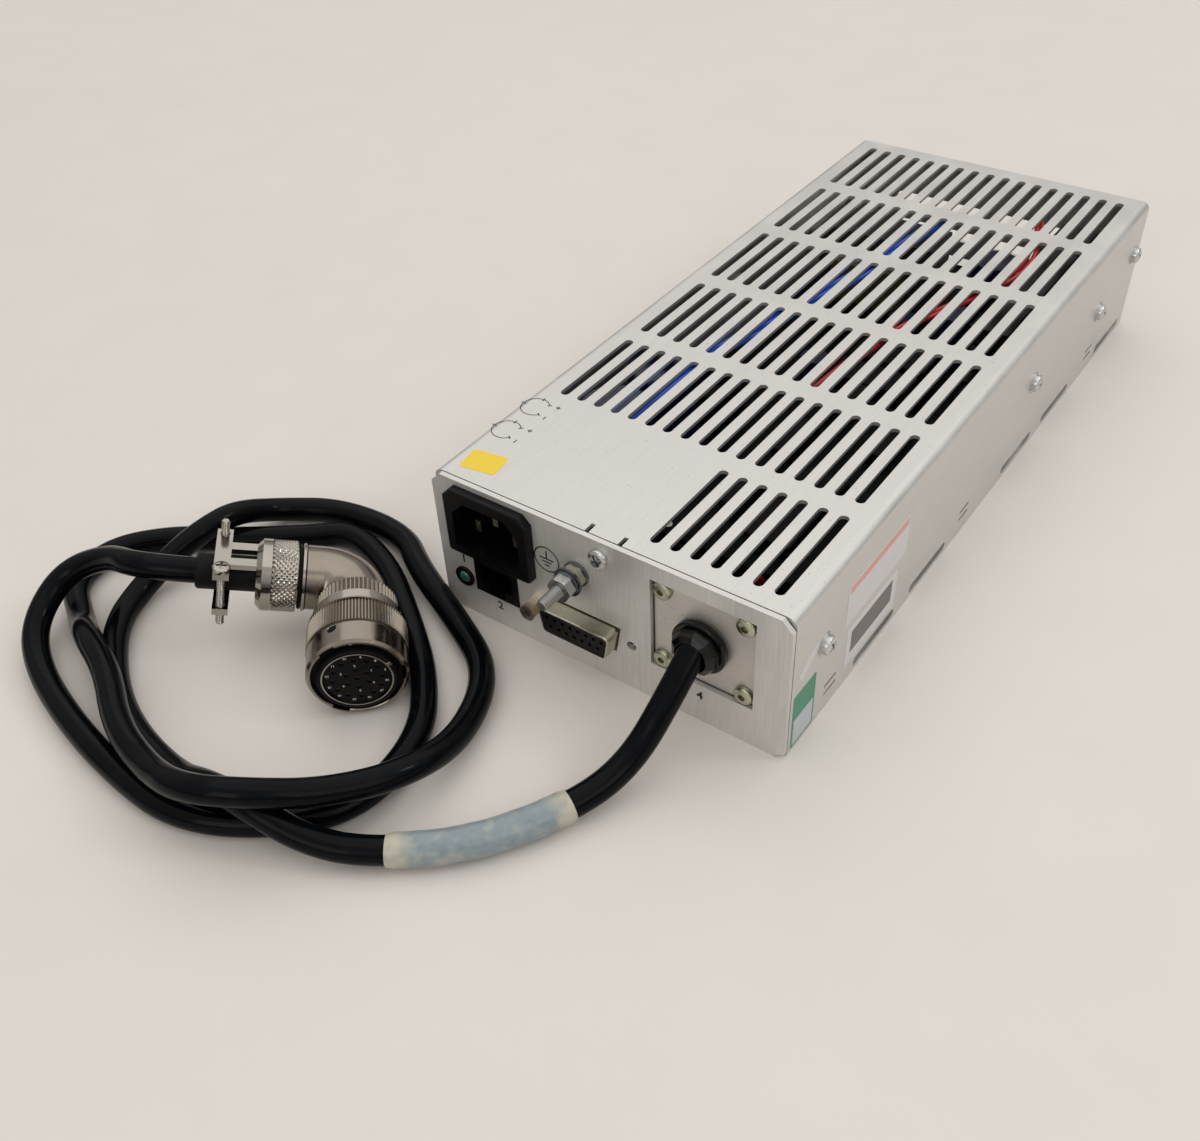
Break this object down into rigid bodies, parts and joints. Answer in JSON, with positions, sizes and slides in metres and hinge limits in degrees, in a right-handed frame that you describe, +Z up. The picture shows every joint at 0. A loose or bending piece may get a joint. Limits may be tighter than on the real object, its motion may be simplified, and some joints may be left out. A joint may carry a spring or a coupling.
{
  "type": "turbomolecular pump controller",
  "caption": "Slotted sheet-metal controller box with mains inlet, logic socket and earth stud, and a fixed black lead that lies in loose turns and ends in a right-angle circular plug.",
  "frame": {"origin": "centre of the case's underside, on the bench", "axes": "+X to the right along the connector panel, +Y from the connector panel to the rear, +Z up"},
  "size_m": [0.2388, 0.3876, 0.051],
  "materials": {
    "case_aluminium": "satin",
    "panel_aluminium": "brushed",
    "plate_aluminium": "satin",
    "fastener_steel": "satin zinc",
    "plug_metal": "satin nickel",
    "black_plastic": "matte",
    "insert_plastic": "matte",
    "logic_insulator": "matte",
    "contact_gold": "gold plate",
    "lamp_green": "clear",
    "lead_black": "gloss",
    "sleeve_clear": "translucent",
    "board_green": "solder resist",
    "core_iron": "lacquered",
    "winding_tape": "polyester tape",
    "component_black": "moulded",
    "capacitor_blue": "shrink sleeve",
    "heatsink_black": "black anodised",
    "wire_blue": "insulation",
    "wire_red": "insulation",
    "fuse_glass": "clear",
    "trimmer_blue": "moulded"
  },
  "bodies": {
    "case": {"chassis": "panel_aluminium", "cover": "case_aluminium", "cover_screws": "fastener_steel", "cover_screw_washers": "fastener_steel", "tab_screw": "fastener_steel", "inlet_housing": "black_plastic", "inlet_pins": "fastener_steel", "gauge_socket": "black_plastic", "gauge_contacts": "contact_gold", "led_bezel": "fastener_steel", "led_lens": "lamp_green", "dsub_shell": "fastener_steel", "dsub_insulator": "logic_insulator", "dsub_contacts": "contact_gold", "dsub_jackpost": "fastener_steel", "earth_stud": "fastener_steel", "earth_washers": "fastener_steel", "earth_inner_nut": "fastener_steel", "earth_outer_nut": "fastener_steel", "gland_plate": "plate_aluminium", "plate_bracket": "plate_aluminium", "gland_plate_screws": "fastener_steel", "gland_body": "black_plastic", "gland_nut": "black_plastic", "cable": "lead_black", "cable_sleeve": "sleeve_clear", "plug_elbow": "plug_metal", "backshell_ring": "plug_metal", "plug_shell": "plug_metal", "plug_insert": "insert_plastic", "plug_contacts": "contact_gold", "arm_nut": "plug_metal", "clamp_yoke": "plug_metal", "clamp_saddle": "plug_metal", "clamp_screws": "fastener_steel", "clamp_bushing": "black_plastic", "main_board": "board_green", "board_standoffs": "fastener_steel", "board_screws": "fastener_steel", "transformer_core": "core_iron", "transformer_winding": "winding_tape", "bulk_capacitors": "capacitor_blue", "filter_choke": "component_black", "fuse_clips": "fastener_steel", "fuse": "fuse_glass", "heatsink": "heatsink_black", "power_transistors": "component_black", "control_board": "board_green", "control_posts": "fastener_steel", "control_chips": "component_black", "relays": "component_black", "small_capacitors": "capacitor_blue", "trimmer_board": "board_green", "trimmer_housings": "trimmer_blue", "mains_wires": "wire_blue", "pump_wires": "wire_red"},
    "coupling": {"coupling_ring": "plug_metal"},
    "setpoint": {"setpoint_rotor": "contact_gold"},
    "timer": {"timer_rotor": "contact_gold"}
  },
  "joints": [
    {"name": "coupling_turn", "type": "hinge", "parent": "case", "child": "coupling", "pos_m": [-0.0779, -0.1581, 0.0147], "axis": [0.6947, -0.7193, 0], "range_deg": [0, 120]},
    {"name": "setpoint_turn", "type": "hinge", "parent": "case", "child": "setpoint", "pos_m": [-0.0535, -0.1095, 0.036], "axis": [-1, 0, 0], "range_deg": [-135, 135]},
    {"name": "timer_turn", "type": "hinge", "parent": "case", "child": "timer", "pos_m": [-0.0535, -0.0952, 0.036], "axis": [-1, 0, 0], "range_deg": [-135, 135]}
  ]
}
